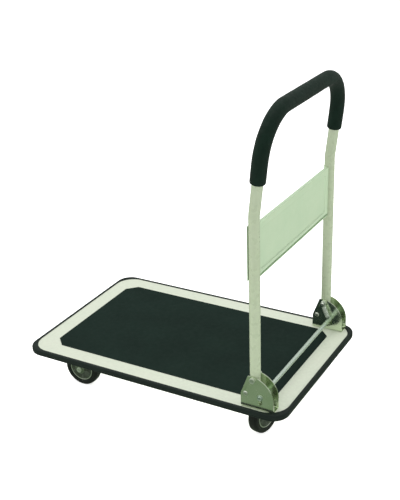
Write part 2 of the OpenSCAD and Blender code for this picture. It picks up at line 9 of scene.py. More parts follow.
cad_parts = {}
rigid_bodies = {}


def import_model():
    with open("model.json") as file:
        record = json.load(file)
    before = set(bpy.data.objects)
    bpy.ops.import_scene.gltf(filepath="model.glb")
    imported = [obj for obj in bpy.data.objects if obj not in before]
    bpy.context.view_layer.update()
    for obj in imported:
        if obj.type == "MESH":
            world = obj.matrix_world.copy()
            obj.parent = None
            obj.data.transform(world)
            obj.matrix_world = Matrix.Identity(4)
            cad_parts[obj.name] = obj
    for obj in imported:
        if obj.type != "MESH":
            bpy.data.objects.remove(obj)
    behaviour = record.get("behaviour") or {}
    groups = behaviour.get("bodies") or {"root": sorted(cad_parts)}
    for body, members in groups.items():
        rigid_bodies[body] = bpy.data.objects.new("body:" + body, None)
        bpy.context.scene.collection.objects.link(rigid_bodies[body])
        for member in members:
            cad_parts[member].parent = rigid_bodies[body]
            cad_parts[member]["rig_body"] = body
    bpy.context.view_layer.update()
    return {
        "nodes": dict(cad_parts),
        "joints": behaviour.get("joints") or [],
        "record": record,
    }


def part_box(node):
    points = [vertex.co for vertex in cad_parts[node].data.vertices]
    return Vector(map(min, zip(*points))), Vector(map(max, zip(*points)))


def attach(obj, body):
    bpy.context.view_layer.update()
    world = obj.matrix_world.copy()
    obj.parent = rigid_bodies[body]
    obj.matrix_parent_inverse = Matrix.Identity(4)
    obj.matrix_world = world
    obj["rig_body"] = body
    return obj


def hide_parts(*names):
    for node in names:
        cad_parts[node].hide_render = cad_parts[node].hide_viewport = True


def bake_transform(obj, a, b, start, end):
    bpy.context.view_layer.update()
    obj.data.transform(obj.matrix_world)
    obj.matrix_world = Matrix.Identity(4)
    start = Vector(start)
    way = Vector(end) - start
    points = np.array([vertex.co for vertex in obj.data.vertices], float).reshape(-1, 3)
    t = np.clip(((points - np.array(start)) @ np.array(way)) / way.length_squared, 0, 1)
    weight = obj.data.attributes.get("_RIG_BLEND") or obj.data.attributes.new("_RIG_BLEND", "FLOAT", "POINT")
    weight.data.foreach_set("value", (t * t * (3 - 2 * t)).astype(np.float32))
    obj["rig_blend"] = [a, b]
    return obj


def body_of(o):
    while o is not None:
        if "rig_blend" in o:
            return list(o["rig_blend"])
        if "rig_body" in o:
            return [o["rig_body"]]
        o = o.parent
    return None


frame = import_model()

# Looks of the folding platform cart. Shapes are worked out in millimetres in the row frame, and
# become metres when a mesh is made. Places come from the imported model's own nodes and joints.

MM = 0.001
LEFT, RIGHT = -1, 1
UP = np.array([0.0, 0.0, 1.0])
ALONG_Y = np.array([0.0, 1.0, 0.0])


# ---------------- measuring the frame

def span(node):
    """Lowest and highest corner of a CAD node."""
    low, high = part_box(node)
    return np.array(low) / MM, np.array(high) / MM


def islands(node):
    """The points of each separate solid in a CAD node."""
    mesh = bmesh.new()
    mesh.from_mesh(frame["nodes"][node].data)
    bmesh.ops.remove_doubles(mesh, verts=mesh.verts, dist=1e-6)
    left, found = set(mesh.verts), []
    while left:
        group, edge = set(), [left.pop()]
        while edge:
            vert = edge.pop()
            group.add(vert)
            near = {e.other_vert(vert) for e in vert.link_edges} & left
            left -= near
            edge.extend(near)
        found.append(np.array(sorted(v.co[:] for v in group)) / MM)
    mesh.free()
    return sorted(found, key=lambda points: tuple(points.mean(0).round(1)))


def across(axis):
    """Two directions at right angles to an axis and to each other."""
    other = UP if abs(axis[2]) < 0.9 else np.array([1.0, 0.0, 0.0])
    first = np.cross(other, axis)
    first /= np.linalg.norm(first)
    return first, np.cross(axis, first)


def turned_size(points, axis):
    """Axis point, ends, least and greatest radius of a solid about an axis, and its head's ends."""
    first, second = across(axis)
    u, v, along = points @ first, points @ second, points @ axis
    middle = [(u.max() + u.min()) / 2, (v.max() + v.min()) / 2]
    radius = np.hypot(u - middle[0], v - middle[1])
    wide = radius > (radius.min() + radius.max()) / 2
    corner = np.argmax(radius)
    return {
        "origin": middle[0] * first + middle[1] * second,
        "ends": (along.min(), along.max()),
        "head": (along[wide].min(), along[wide].max()),
        "small": radius.min(),
        "large": radius.max(),
        "turn": math.atan2(v[corner] - middle[1], u[corner] - middle[0]),
    }


def joint(name):
    """Position and axis of a joint."""
    found = next(j for j in frame["joints"] if j["name"] == name)
    return np.array(found["pos_m"]) / MM, np.array(found["axis"], float)


# ---------------- shapes

def rounded(points, radii, steps):
    """A closed 2D outline with an arc in place of each corner."""
    points = np.asarray(points, float)
    count = len(points)
    radii = [radii] * count if np.isscalar(radii) else radii
    made = []
    for i in range(count):
        corner = points[i]
        if radii[i] <= 0:
            made.append(corner)
            continue
        back, ahead = points[i - 1] - corner, points[(i + 1) % count] - corner
        room = 0.49 * min(np.linalg.norm(back), np.linalg.norm(ahead))
        back, ahead = back / np.linalg.norm(back), ahead / np.linalg.norm(ahead)
        half = math.acos(max(-1.0, min(1.0, back @ ahead))) / 2
        reach = min(radii[i] / math.tan(half), room)
        radius = reach * math.tan(half)
        middle = corner + (back + ahead) / np.linalg.norm(back + ahead) * radius / math.sin(half)
        start, end = corner + back * reach - middle, corner + ahead * reach - middle
        sweep = math.pi - 2 * half
        for k in range(steps + 1):
            share = k / steps
            first = math.sin((1 - share) * sweep) / math.sin(sweep)
            second = math.sin(share * sweep) / math.sin(sweep)
            made.append(middle + first * start + second * end)
    return np.array(made)


def loft(rings, ring_closed=True, path_closed=False):
    """Points and faces of the skin through rings that have as many points as each other."""
    rings = np.asarray(rings, float)
    count, size = rings.shape[:2]
    faces = []
    for i in range(count if path_closed else count - 1):
        a, b = i * size, (i + 1) % count * size
        for j in range(size if ring_closed else size - 1):
            k = (j + 1) % size
            faces.append((a + j, a + k, b + k, b + j))
    return rings.reshape(-1, 3), faces


def lathe(profile, origin, axis, steps, closed=True, turn=0.0):
    """Turns a profile of (radius, distance) about an axis. A function gives it for each angle."""
    first, second = across(axis)
    rings = []
    for i in range(steps):
        angle = turn + 2 * math.pi * i / steps
        outward = math.cos(angle) * first + math.sin(angle) * second
        line = profile(angle - turn) if callable(profile) else profile
        rings.append([origin + r * outward + d * axis for r, d in line])
    return loft(rings, closed, True)


def swept(stations, radii, sides):
    """Rings round a path of (point, direction, normal), each with its own radius."""
    rings = []
    for (point, direction, normal), radius in zip(stations, radii):
        other = np.cross(direction, normal)
        angles = np.arange(sides) * 2 * math.pi / sides
        circle = np.outer(np.cos(angles), normal) + np.outer(np.sin(angles), other)
        rings.append(point + radius * circle)
    return rings


def capped(rings):
    """The skin through rings, with a flat face on each end."""
    points, faces = loft(rings)
    size = len(rings[0])
    last = len(points) - size
    return points, faces + [tuple(range(size))[::-1], tuple(range(last, last + size))]


def sheet_metal(grid, thickness):
    """A closed solid of even thickness about a grid of points."""
    grid = np.asarray(grid, float)
    normal = np.cross(np.gradient(grid, axis=0), np.gradient(grid, axis=1))
    length = np.linalg.norm(normal, axis=2)
    # a point where rows meet has no normal of its own and takes its neighbour's
    for row in range(1, len(grid)):
        flat = length[row - 1] < 1e-9
        normal[row - 1][flat] = normal[row][flat]
    for row in range(len(grid) - 2, -1, -1):
        flat = np.linalg.norm(normal[row + 1], axis=1) < 1e-9
        normal[row + 1][flat] = normal[row][flat]
    normal /= np.maximum(np.linalg.norm(normal, axis=2, keepdims=True), 1e-12)
    rows, columns = grid.shape[:2]
    front, faces = loft(grid + normal * thickness / 2, ring_closed=False)
    back, more = loft(grid - normal * thickness / 2, ring_closed=False)
    shift = rows * columns
    faces += [tuple(i + shift for i in reversed(face)) for face in more]
    edge = [(0, j) for j in range(columns)] + [(i, columns - 1) for i in range(1, rows)]
    edge += [(rows - 1, j) for j in range(columns - 2, -1, -1)]
    edge += [(i, 0) for i in range(rows - 2, 0, -1)]
    border = [i * columns + j for i, j in edge]
    for k, here in enumerate(border):
        there = border[(k + 1) % len(border)]
        faces.append((here, there, there + shift, here + shift))
    return np.vstack([front, back]), faces


def together(*parts):
    """Several (points, faces) as one."""
    points, faces, start = [], [], 0
    for part_points, part_faces in parts:
        points.append(np.asarray(part_points, float))
        faces += [tuple(i + start for i in face) for face in part_faces]
        start += len(part_points)
    return np.vstack(points), faces


# ---------------- making pieces

def add_object(name, data):
    """A new object in the scene."""
    obj = bpy.data.objects.new(name, data)
    bpy.context.scene.collection.objects.link(obj)
    return obj


def tidy(mesh, source, gap, flat=0.0):
    """Fills a mesh from a source: merges points that meet, joins flat faces, turns all outwards."""
    solid = bmesh.new()
    solid.from_mesh(source)
    bmesh.ops.remove_doubles(solid, verts=solid.verts, dist=gap)
    if flat:
        bmesh.ops.dissolve_limit(solid, angle_limit=flat, verts=solid.verts, edges=solid.edges)
    bmesh.ops.recalc_face_normals(solid, faces=solid.faces)
    solid.to_mesh(mesh)
    solid.free()


def soften(obj, width, angle):
    """Rounds an object's edges by a small bevel and evens out its shading."""
    bevel = obj.modifiers.new("Edges", "BEVEL")
    bevel.width = width * MM
    bevel.segments = 2
    bevel.limit_method = "ANGLE"
    bevel.angle_limit = math.radians(angle)
    bevel.harden_normals = True
    shading = obj.modifiers.new("Shading", "WEIGHTED_NORMAL")
    shading.keep_sharp = True


def finish_piece(obj, slot, body, stands_for):
    """Gives a piece its material, the CAD nodes it stands for and the body it rides on."""
    obj.data.materials.clear()
    obj.data.materials.append(LOOKS[slot])
    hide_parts(*stands_for)
    if body:
        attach(obj, body)
    return obj


def piece(name, shape, slot, body, stands_for, bevel=0.0, sharp=35):
    """An object made of (points, faces) in millimetres."""
    points, faces = shape
    mesh = bpy.data.meshes.new(name)
    mesh.from_pydata((np.asarray(points) * MM).tolist(), [], faces)
    tidy(mesh, mesh, 2e-7)
    obj = add_object(name, mesh)
    mesh.shade_smooth()
    if bevel:
        soften(obj, bevel, sharp)
    else:
        mesh.set_sharp_from_angle(angle=math.radians(sharp))
    return finish_piece(obj, slot, body, stands_for)


def from_cad(node, bevel, angle=35):
    """A CAD node's own shape with its edges rounded."""
    slot = next(s["material_slot"] for s in frame["record"]["subparts"] if s["node"] == node)
    body = body_of(frame["nodes"][node])[0]
    mesh = bpy.data.meshes.new(node + "_finished")
    tidy(mesh, frame["nodes"][node].data, 1e-6, math.radians(0.8))
    for attribute in ("custom_normal", "sharp_edge", "sharp_face"):
        if attribute in mesh.attributes:
            mesh.attributes.remove(mesh.attributes[attribute])
    mesh.shade_smooth()
    obj = add_object(node + "_finished", mesh)
    soften(obj, bevel, angle)
    return finish_piece(obj, slot, body, [node])


# ---------------- materials

def add_node(tree, kind, inputs=None, **settings):
    """A shader node whose inputs are values or other nodes' outputs."""
    made = tree.nodes.new(kind)
    for key, value in settings.items():
        setattr(made, key, value)
    for key, value in (inputs or {}).items():
        join(tree, made, key, value)
    return made


def join(tree, node, key, value):
    """Sets or links one of a node's inputs."""
    if isinstance(value, bpy.types.NodeSocket):
        tree.links.new(value, node.inputs[key])
    else:
        node.inputs[key].default_value = value


class Look:
    """A procedural material whose textures are laid out in millimetres on the object."""

    def __init__(self, name):
        self.material = bpy.data.materials.new(name)
        self.material.use_nodes = True
        self.tree = self.material.node_tree
        self.shader = self.tree.nodes["Principled BSDF"]
        self.place = self.node("ShaderNodeTexCoord").outputs["Object"]

    def node(self, kind, inputs=None, **settings):
        return add_node(self.tree, kind, inputs, **settings)

    def noise(self, size, detail=3.0, stretch=(1, 1, 1)):
        """Noise from 0 to 1 with features of about size millimetres."""
        place = self.node("ShaderNodeMapping", {"Vector": self.place, "Scale": stretch}).outputs[0]
        inputs = {"Vector": place, "Scale": 1 / (size * MM), "Detail": detail}
        return self.node("ShaderNodeTexNoise", inputs).outputs[0]

    def cells(self, size):
        """Distance to the nearest of many points that are size millimetres apart."""
        inputs = {"Vector": self.place, "Scale": 1 / (size * MM)}
        return self.node("ShaderNodeTexVoronoi", inputs).outputs["Distance"]

    def remap(self, value, low, high, start=0.3, end=0.7):
        """A value from start to end becomes one from low to high."""
        inputs = {"Value": value, "From Min": start, "From Max": end, "To Min": low, "To Max": high}
        return self.node("ShaderNodeMapRange", inputs).outputs[0]

    def times(self, first, second):
        return self.node("ShaderNodeMath", {0: first, 1: second}, operation="MULTIPLY").outputs[0]

    def plus(self, first, second):
        return self.node("ShaderNodeMath", {0: first, 1: second}, operation="ADD").outputs[0]

    def mix(self, factor, first, second):
        first = first if isinstance(first, bpy.types.NodeSocket) else (*first, 1)
        second = second if isinstance(second, bpy.types.NodeSocket) else (*second, 1)
        made = self.node("ShaderNodeMix", {0: factor, 6: first, 7: second}, data_type="RGBA")
        return made.outputs[2]

    def edges(self, start=0.505, end=0.54):
        """1 on outside edges, 0 on flat faces."""
        pointiness = self.node("ShaderNodeNewGeometry").outputs["Pointiness"]
        return self.remap(pointiness, 0.0, 1.0, start, end)

    def scratches(self, stretch, amount=0.66):
        """1 in sparse fine scratches that run along the stretched direction."""
        lines = self.noise(2.2, 4.0, stretch)
        return self.remap(lines, 0.0, 1.0, amount, amount + 0.05)

    def finish(self, colour, roughness, height=None, depth=0.02, **values):
        """Joins colour, roughness and a bump whose height is depth millimetres."""
        values |= {"Base_Color": colour, "Roughness": roughness}
        if height is not None:
            inputs = {"Height": height, "Strength": 1.0, "Distance": depth * MM}
            values["Normal"] = self.node("ShaderNodeBump", inputs).outputs[0]
        for key, value in values.items():
            join(self.tree, self.shader, key.replace("_", " "), value)
        return self.material


def shade(colour, factor):
    """A colour made darker or lighter."""
    return tuple(min(1.0, c * factor) for c in colour)


def powder_coat(name, colour, warm, rough=0.36, coat=0.12):
    """Semi-gloss powder coat: orange peel, cloudy tone, faint scuffs and paler worn edges."""
    look = Look(name)
    cloud = look.remap(look.noise(70, 4), 0, 1)
    tone = look.mix(cloud, shade(colour, 0.97), warm)
    scuffs = look.times(
        look.plus(look.scratches((1, 9, 6)), look.scratches((8, 1, 5), 0.68)),
        look.remap(look.noise(45), 0, 1, 0.45, 0.65),
    )
    tone = look.mix(look.times(scuffs, 0.2), tone, shade(colour, 0.62))
    worn = look.times(look.edges(), look.remap(look.noise(9), 0.15, 0.8))
    tone = look.mix(worn, tone, shade(colour, 1.12))
    peel = look.plus(look.noise(1.7, 1), look.times(look.noise(0.5, 2), 0.35))
    roughness = look.remap(look.noise(16), rough - 0.07, rough + 0.09)
    return look.finish(tone, roughness, peel, 0.02, Coat_Weight=coat, Coat_Roughness=0.18)


def plated(name, colour, other, rough, stretch=(1, 1, 6), grain=0.008):
    """Bright plated steel: rolled grain, cloudy passivation, hairline scratches, polished edges."""
    look = Look(name)
    cloud = look.remap(look.noise(26, 4), 0, 1)
    tone = look.mix(cloud, colour, other)
    hair = look.times(look.scratches(stretch, 0.63), look.remap(look.noise(20), 0, 1, 0.4, 0.6))
    tone = look.mix(look.times(hair, 0.5), tone, shade(colour, 0.6))
    tone = look.mix(look.times(look.edges(), 0.7), tone, shade(other, 1.35))
    rolled = look.noise(1.4, 3, stretch)
    roughness = look.plus(
        look.remap(look.noise(14, 4), rough[0], rough[1]), look.times(rolled, 0.05)
    )
    return look.finish(tone, roughness, look.plus(rolled, hair), grain, Metallic=1.0)


def rubber(name, colour, rough, grain, depth, specular, cloud_size=60):
    """Moulded rubber: fine skin texture, chalky bloom in patches and on its edges."""
    look = Look(name)
    cloud = look.remap(look.noise(cloud_size, 5), 0, 1)
    tone = look.mix(cloud, shade(colour, 0.88), shade(colour, 1.14))
    bloom = look.times(look.edges(0.51, 0.56), look.remap(look.noise(7), 0.0, 0.7))
    tone = look.mix(bloom, tone, shade(colour, 1.3))
    pebbles = look.plus(look.cells(grain), look.times(look.noise(grain * 0.5, 2), 0.6))
    roughness = look.remap(look.noise(11, 4), rough - 0.06, rough + 0.08)
    return look.finish(tone, roughness, pebbles, depth, Specular_IOR_Level=specular)


def grip_foam(name, colour):
    """Closed-cell foam with a skin: pores, soft mottling and a velvety sheen."""
    look = Look(name)
    cloud = look.remap(look.noise(35, 5), 0, 1)
    tone = look.mix(cloud, shade(colour, 0.84), shade(colour, 1.2))
    pores = look.cells(0.9)
    tone = look.mix(look.remap(pores, 0.0, 0.35, 0.15, 0.6), tone, shade(colour, 0.6))
    rubbed = look.times(look.remap(look.noise(18), 0, 1, 0.5, 0.7), 0.35)
    tone = look.mix(rubbed, tone, shade(colour, 1.45))
    texture = look.plus(pores, look.times(look.noise(3.5, 4), 0.8))
    roughness = look.remap(look.noise(8), 0.62, 0.8)
    return look.finish(
        tone, roughness, texture, 0.09,
        Specular_IOR_Level=0.14, Sheen_Weight=0.04, Sheen_Roughness=0.45,
    )


LOOKS = {
    "cream_paint": powder_coat("cream_paint", (0.665, 0.725, 0.59), (0.70, 0.735, 0.61)),
    "handle_paint": powder_coat("handle_paint", (0.425, 0.505, 0.335), (0.455, 0.525, 0.37), 0.3, 0.6),
    "panel_paint": powder_coat("panel_paint", (0.50, 0.652, 0.44), (0.525, 0.657, 0.453)),
    "edge_rubber": rubber("edge_rubber", (0.010, 0.0175, 0.0135), 0.5, 0.7, 0.03, 0.16),
    "mat_rubber": rubber("mat_rubber", (0.010, 0.0215, 0.0165), 0.7, 1.1, 0.05, 0.06, 110),
    "grip_foam": grip_foam("grip_foam", (0.0042, 0.0170, 0.0100)),
    "bright_zinc": plated("bright_zinc", (0.47, 0.60, 0.36), (0.64, 0.71, 0.56), (0.1, 0.24)),
    "fastener_zinc": plated("fastener_zinc", (0.56, 0.63, 0.52), (0.68, 0.72, 0.64), (0.24, 0.36)),
    "steel_sleeve": plated("steel_sleeve", (0.46, 0.48, 0.45), (0.55, 0.57, 0.54), (0.22, 0.32)),
    "spring_steel": plated("spring_steel", (0.50, 0.56, 0.48), (0.60, 0.66, 0.58), (0.2, 0.3)),
    "bar_zinc": plated("bar_zinc", (0.50, 0.62, 0.52), (0.60, 0.70, 0.61), (0.2, 0.28), (6, 1, 6), 0.002),
    "fork_zinc": plated("fork_zinc", (0.17, 0.215, 0.155), (0.29, 0.335, 0.26), (0.28, 0.4)),
    "plug_plastic": rubber("plug_plastic", (0.012, 0.014, 0.012), 0.45, 0.6, 0.02, 0.4),
    "tyre_rubber": rubber("tyre_rubber", (0.006, 0.008, 0.0065), 0.34, 1.0, 0.02, 0.3),
    "wheel_core": powder_coat("wheel_core", (0.055, 0.078, 0.050), (0.075, 0.10, 0.065), 0.4),
}


# ---------------- deck

def rounded_rectangle(half_x, half_y, radius, corner_steps, side_steps):
    """Points round a rectangle, the same number on each corner and side whatever its size."""
    points = []
    for quarter in range(4):
        turn = quarter * math.pi / 2
        sign_x, sign_y = [(1, 1), (-1, 1), (-1, -1), (1, -1)][quarter]
        middle = np.array([sign_x * (half_x - radius), sign_y * (half_y - radius)])
        arc = [
            middle + radius * np.array([math.cos(turn + a), math.sin(turn + a)])
            for a in np.linspace(0, math.pi / 2, corner_steps + 1)
        ]
        if points:
            start = points[-1]
            points += [start + (arc[0] - start) * k / side_steps for k in range(1, side_steps)]
        points += arc
    start, end = points[-1], points[0]
    points += [start + (end - start) * k / side_steps for k in range(1, side_steps)]
    return np.array(points)


def edge_bumper():
    """Moulded rubber edge: a thick outer roll, a thin lip over the deck and a hook under it."""
    low, high = span("edge_bumper")
    half_x, half_y = high[0], high[1]
    deck_top = span("deck_plate")[1][2]
    skirt_low = span("deck_plate")[0][2]
    outer_radius, border_radius, skirt_radius = 42, 51, 54.8
    lap, skirt, hook = 8.8, 5.05, 9.0
    roll, low_roll, groove, ledge = 4.0, 4.2, 0.55, 0.15

    # each corner of the section: inset from the outside, height, and plan radius of its corners
    section = []
    for angle in np.radians(np.linspace(90, 0, 9)):
        inset = roll - roll * math.cos(angle)
        section.append((inset, high[2] - roll + roll * math.sin(angle), outer_radius - inset))
    line = low[2] + low_roll
    section += [(0, line + 1.2, outer_radius), (groove, line + 0.6, outer_radius - groove)]
    section += [(groove, line, outer_radius - groove), (ledge, line - 0.5, outer_radius - ledge)]
    for angle in np.radians(np.linspace(20, 90, 6)):
        inset = low_roll - (low_roll - ledge) * math.cos(angle)
        section.append((inset, line - 0.2 - roll * math.sin(angle), outer_radius - inset))
    section += [(hook - 0.4, low[2], border_radius), (hook, low[2] + 0.4, border_radius)]
    section += [(hook, skirt_low - 0.2, border_radius), (skirt, skirt_low - 0.05, skirt_radius)]
    section += [(skirt, deck_top + 0.02, skirt_radius), (lap, deck_top + 0.02, border_radius)]
    section += [(lap + 0.02, deck_top + 0.9, border_radius)]
    section += [(lap - 0.35, deck_top + 1.45, border_radius), (lap - 0.9, high[2] - 0.06, border_radius)]
    lines = []
    for inset, height, radius in section:
        plan = rounded_rectangle(half_x - inset, half_y - inset, radius, 20, 24)
        lines.append([(x, y, height) for x, y in plan])
    piece("rubber_edge", loft(lines, True, True), "edge_rubber", "frame", ["edge_bumper"], sharp=50)


def anti_slip_mat():
    """Thin rubber mat with chamfered corners, a soft edge and a faint waviness."""
    low, high = span("anti_slip_mat")
    chamfer, side_steps, long_side = 27, 16, 100
    corners = []
    for x, y in [(1, 1), (-1, 1), (-1, -1), (1, -1)]:
        end_x = high[0] if x > 0 else low[0]
        end_y = high[1] if y > 0 else low[1]
        pair = [(end_x, end_y - y * chamfer), (end_x - x * chamfer, end_y)]
        corners += pair if x * y > 0 else pair[::-1]
    outline = rounded(corners, 2.0, 3)
    centre = (low[:2] + high[:2]) / 2
    dense = []
    for start, end in zip(outline, np.roll(outline, -1, axis=0)):
        parts = side_steps if np.linalg.norm(end - start) > long_side else 1
        dense += [start + (end - start) * k / parts for k in range(parts)]
    dense = np.array(dense)
    rings = []
    for inset, height in [(0.0, 0.0), (0.0, 0.55), (0.18, 0.95), (0.55, 1.18), (1.6, 1.2)]:
        inward = dense + (centre - dense) / np.linalg.norm(centre - dense, axis=1)[:, None] * inset
        rings.append([(x, y, low[2] + height) for x, y in inward])
    wave_size, wave_height, dip = 90, 0.09, 0.04
    for share in [0.95, 0.88, 0.76, 0.6, 0.42, 0.24, 0.1, 0.0]:
        ring = []
        for x, y in centre + (dense - centre) * share:
            wave = noise.noise(Vector((x / wave_size, y / wave_size, 0.3))) * wave_height
            ring.append((x, y, high[2] - dip + wave * min(1, (1 - share) * 6)))
        rings.append(ring)
    points, faces = loft(rings)
    faces.append(tuple(range(len(dense)))[::-1])
    piece("rubber_mat", (points, faces), "mat_rubber", "frame", ["anti_slip_mat"], sharp=60)


# ---------------- fasteners

def hexagon_radius(angle, corner_radius):
    """Distance to a hexagon's side at an angle, with slightly rounded corners."""
    apothem = corner_radius * math.cos(math.pi / 6)
    turn = angle % (math.pi / 3) - math.pi / 6
    return min(apothem / math.cos(turn), corner_radius * 0.985)


def hex_head(origin, axis, low, high, corner_radius, turn, outward):
    """Forged hexagon head: chamfered top corners, a washer face below and a shallow dished top."""
    flat = corner_radius * math.cos(math.pi / 6)
    height = high - low
    bottom = low if outward > 0 else high

    def profile(angle):
        side = hexagon_radius(angle, corner_radius)
        drop = max(0.0, side - flat * 0.95) * 0.62
        line = [(0, 0), (flat * 0.96, 0), (flat * 0.97, 0.35), (side, 0.5)]
        line += [(side, height - drop), (flat * 0.95, height), (flat * 0.7, height - 0.05)]
        line += [(flat * 0.6, height - 0.45), (0, height - 0.5)]
        return [(r, bottom + outward * d) for r, d in line]

    return lathe(profile, origin, axis, 48, False, turn)


def hex_nut(origin, axis, low, high, corner_radius, bore, turn):
    """Hexagon nut with both faces chamfered, outside and at the bore."""
    flat = corner_radius * math.cos(math.pi / 6)

    def profile(angle):
        side = hexagon_radius(angle, corner_radius)
        drop = max(0.0, side - flat * 0.95) * 0.62
        return [
            (bore, low + 0.6), (bore + 0.6, low), (flat * 0.95, low), (side, low + drop + 0.05),
            (side, high - drop - 0.05), (flat * 0.95, high), (bore + 0.6, high), (bore, high - 0.6),
        ]

    return lathe(profile, origin, axis, 48, True, turn)


def threaded_shank(origin, axis, start, end, radius, thread):
    """A round shank from start to end whose last stretch is threaded."""
    sign = 1 if end > start else -1
    pitch, depth, slack = 1.25, 0.55, 0.02
    length = abs(end - start)
    thread = min(thread, length - 0.5)
    line = [(0, 0), (radius - slack, 0), (radius - slack, length - thread)]
    for k in range(int(thread / pitch)):
        at = length - thread + k * pitch
        line += [(radius - depth, at + 0.35 * pitch), (radius - depth, at + 0.5 * pitch)]
        line += [(radius, at + 0.9 * pitch)]
    line += [(radius - depth, length), (0, length)]
    return lathe([(r, start + sign * d) for r, d in line], origin, axis, 32, False)


def bolts(node, axis, body, thread=9):
    """Every bolt of a CAD node, each with a forged head and a threaded end."""
    parts = []
    for points in islands(node):
        size = turned_size(points, axis)
        low, high = size["ends"]
        outward = 1 if size["head"][1] > high - 0.01 else -1
        parts.append(
            hex_head(size["origin"], axis, *size["head"], size["large"], size["turn"], outward)
        )
        start, end = (size["head"][0] + 0.2, low) if outward > 0 else (size["head"][1] - 0.2, high)
        parts.append(threaded_shank(size["origin"], axis, start, end, size["small"], thread))
    piece(node + "_forged", together(*parts), "fastener_zinc", body, [node], sharp=28)


def nuts(node, axis, body):
    """Every nut of a CAD node."""
    parts = []
    for points in islands(node):
        size = turned_size(points, axis)
        radii = size["large"], size["small"]
        parts.append(hex_nut(size["origin"], axis, *size["ends"], *radii, size["turn"]))
    piece(node + "_forged", together(*parts), "fastener_zinc", body, [node], sharp=28)


def stop_rivets():
    """Rivets with domed heads on both plates of each bracket."""
    head, shank_r = 2.4, 3.9
    parts = []
    for points in islands("stop_rivets"):
        size = turned_size(points, ALONG_Y)
        low, high = size["ends"]
        line = [(0, low)]
        for angle in np.radians(np.linspace(10, 90, 8)):
            dome = size["large"] * math.sin(angle), low + head * (1 - math.cos(angle))
            line.append(dome)
        line += [(size["large"], low + head + 0.02), (shank_r, low + head + 0.02)]
        line += [(r, low + high - d) for r, d in reversed(line)]
        parts.append(lathe(line, size["origin"], ALONG_Y, 40, False))
    piece("stop_rivets_domed", together(*parts), "fastener_zinc", "frame", ["stop_rivets"], sharp=40)


def bar_clips():
    """Domed push-on washers with a raised rim on the ends of the lock bar."""
    drawn_thick = 1.2
    parts = []
    for points in islands("lock_bar_clips"):
        size = turned_size(points, ALONG_Y)
        low, high = size["ends"]
        side = 1 if low > 0 else -1
        inner, outer = (low, high) if side > 0 else (high, low)
        r, bore = size["large"], size["small"]
        line = rounded([
            (bore, 0.5), (bore + 0.9, 0.95), (r - 1.6, 0.55), (r - 1.2, 1.15), (r, 1.1), (r, 0.0),
            (r - 1.4, 0.02), (bore + 0.4, 0.3),
        ], 0.2, 2)
        line = [(a, inner + side * b * abs(outer - inner) / drawn_thick) for a, b in line]
        parts.append(lathe(line, size["origin"], ALONG_Y, 40))
    piece("lock_bar_clips_domed", together(*parts), "bar_zinc", "lock_bar",
          ["lock_bar_clips"], sharp=40)


# ---------------- lock springs

def smooth_path(points, steps):
    """A Catmull-Rom curve through points."""
    points = np.asarray(points, float)
    padded = np.vstack([2 * points[0] - points[1], points, 2 * points[-1] - points[-2]])
    made = []
    for i in range(1, len(padded) - 2):
        a, b, c, d = padded[i - 1:i + 3]
        for t in np.arange(steps) / steps:
            made.append(0.5 * (2 * b + (c - a) * t + (2 * a - 5 * b + 4 * c - d) * t * t
                               + (3 * b - a - 3 * c + d) * t ** 3))
    made.append(points[-1])
    return np.array(made)


def along_path(points):
    """Stations of a path, with a normal that doesn't twist."""
    directions = np.gradient(points, axis=0)
    directions /= np.linalg.norm(directions, axis=1)[:, None]
    normal = across(directions[0])[0]
    stations = []
    for point, direction in zip(points, directions):
        normal = normal - (normal @ direction) * direction
        normal /= np.linalg.norm(normal)
        stations.append((point, direction, normal.copy()))
    return stations


def lock_spring(name):
    """Extension spring with a hook on each end, from the pivot bolt's stub to the lock bar."""
    low, high = span(name + "_lock_spring")
    y = (low[1] + high[1]) / 2
    pivot, _ = joint("handle_fold")
    bar_low, bar_high = span("lock_bar")
    bar = (bar_low + bar_high) / 2
    top, bottom = np.array([pivot[0], y, pivot[2]]), np.array([bar[0], y, bar[2]])
    down = (bottom - top) / np.linalg.norm(bottom - top)
    sideways = np.cross(ALONG_Y, down)
    wire, coil, clear, turns, per_turn = 0.65, 5.8, 8.2, 18, 12
    stub_r, bar_r = 4.0, 5.0

    def hook(centre, radius, towards, lean):
        """From the open end round to where the coil starts."""
        angles = np.radians(np.linspace(62, 325, 14))
        return [centre + radius * (math.cos(a) * towards + math.sin(a) * lean) for a in angles]

    path = hook(top, stub_r + wire, down, sideways)
    start, end = top + clear * down, bottom - clear * down
    length = np.linalg.norm(end - start)
    for k in range(turns * per_turn + 1):
        angle = 2 * math.pi * k / per_turn
        centre = start + down * length * k / (turns * per_turn)
        path.append(centre - coil * (math.cos(angle) * sideways + math.sin(angle) * ALONG_Y))
    path += hook(bottom, bar_r + wire, -down, sideways)[::-1]
    stations = along_path(smooth_path(path, 2))
    obj = piece(name + "_coil_spring", capped(swept(stations, [wire] * len(stations), 8)),
                "spring_steel", None, [name + "_lock_spring"], sharp=60)
    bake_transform(obj, "frame", "lock_bar", start=tuple(start * MM), end=tuple(end * MM))


# ---------------- handle

tube_low_corner, tube_high_corner = span("handle_tube")
PIVOT, _ = joint("handle_fold")
POST_X = PIVOT[0]
TUBE_R = POST_X - tube_low_corner[0]
POST_Y = tube_high_corner[1] - TUBE_R
BEND_Z, LEAN, LEAN_LENGTH = 613.0, math.radians(6.76), 223.6
CORNER_R, BEND_R, TUBE_WALL = 100.0, 90.0, 1.2
BEND_STEPS = 10


def lean_up(angle):
    """Along a post that leans by an angle."""
    return np.array([math.sin(angle), 0, math.cos(angle)])


def lean_normal(angle):
    """Squarely off the front of a post that leans by an angle."""
    return np.array([math.cos(angle), 0, -math.sin(angle)])


def upper_point(y, along):
    """A point of the handle's leaning part, at a distance from the bend."""
    return np.array([POST_X, y, BEND_Z]) + along * lean_up(LEAN)


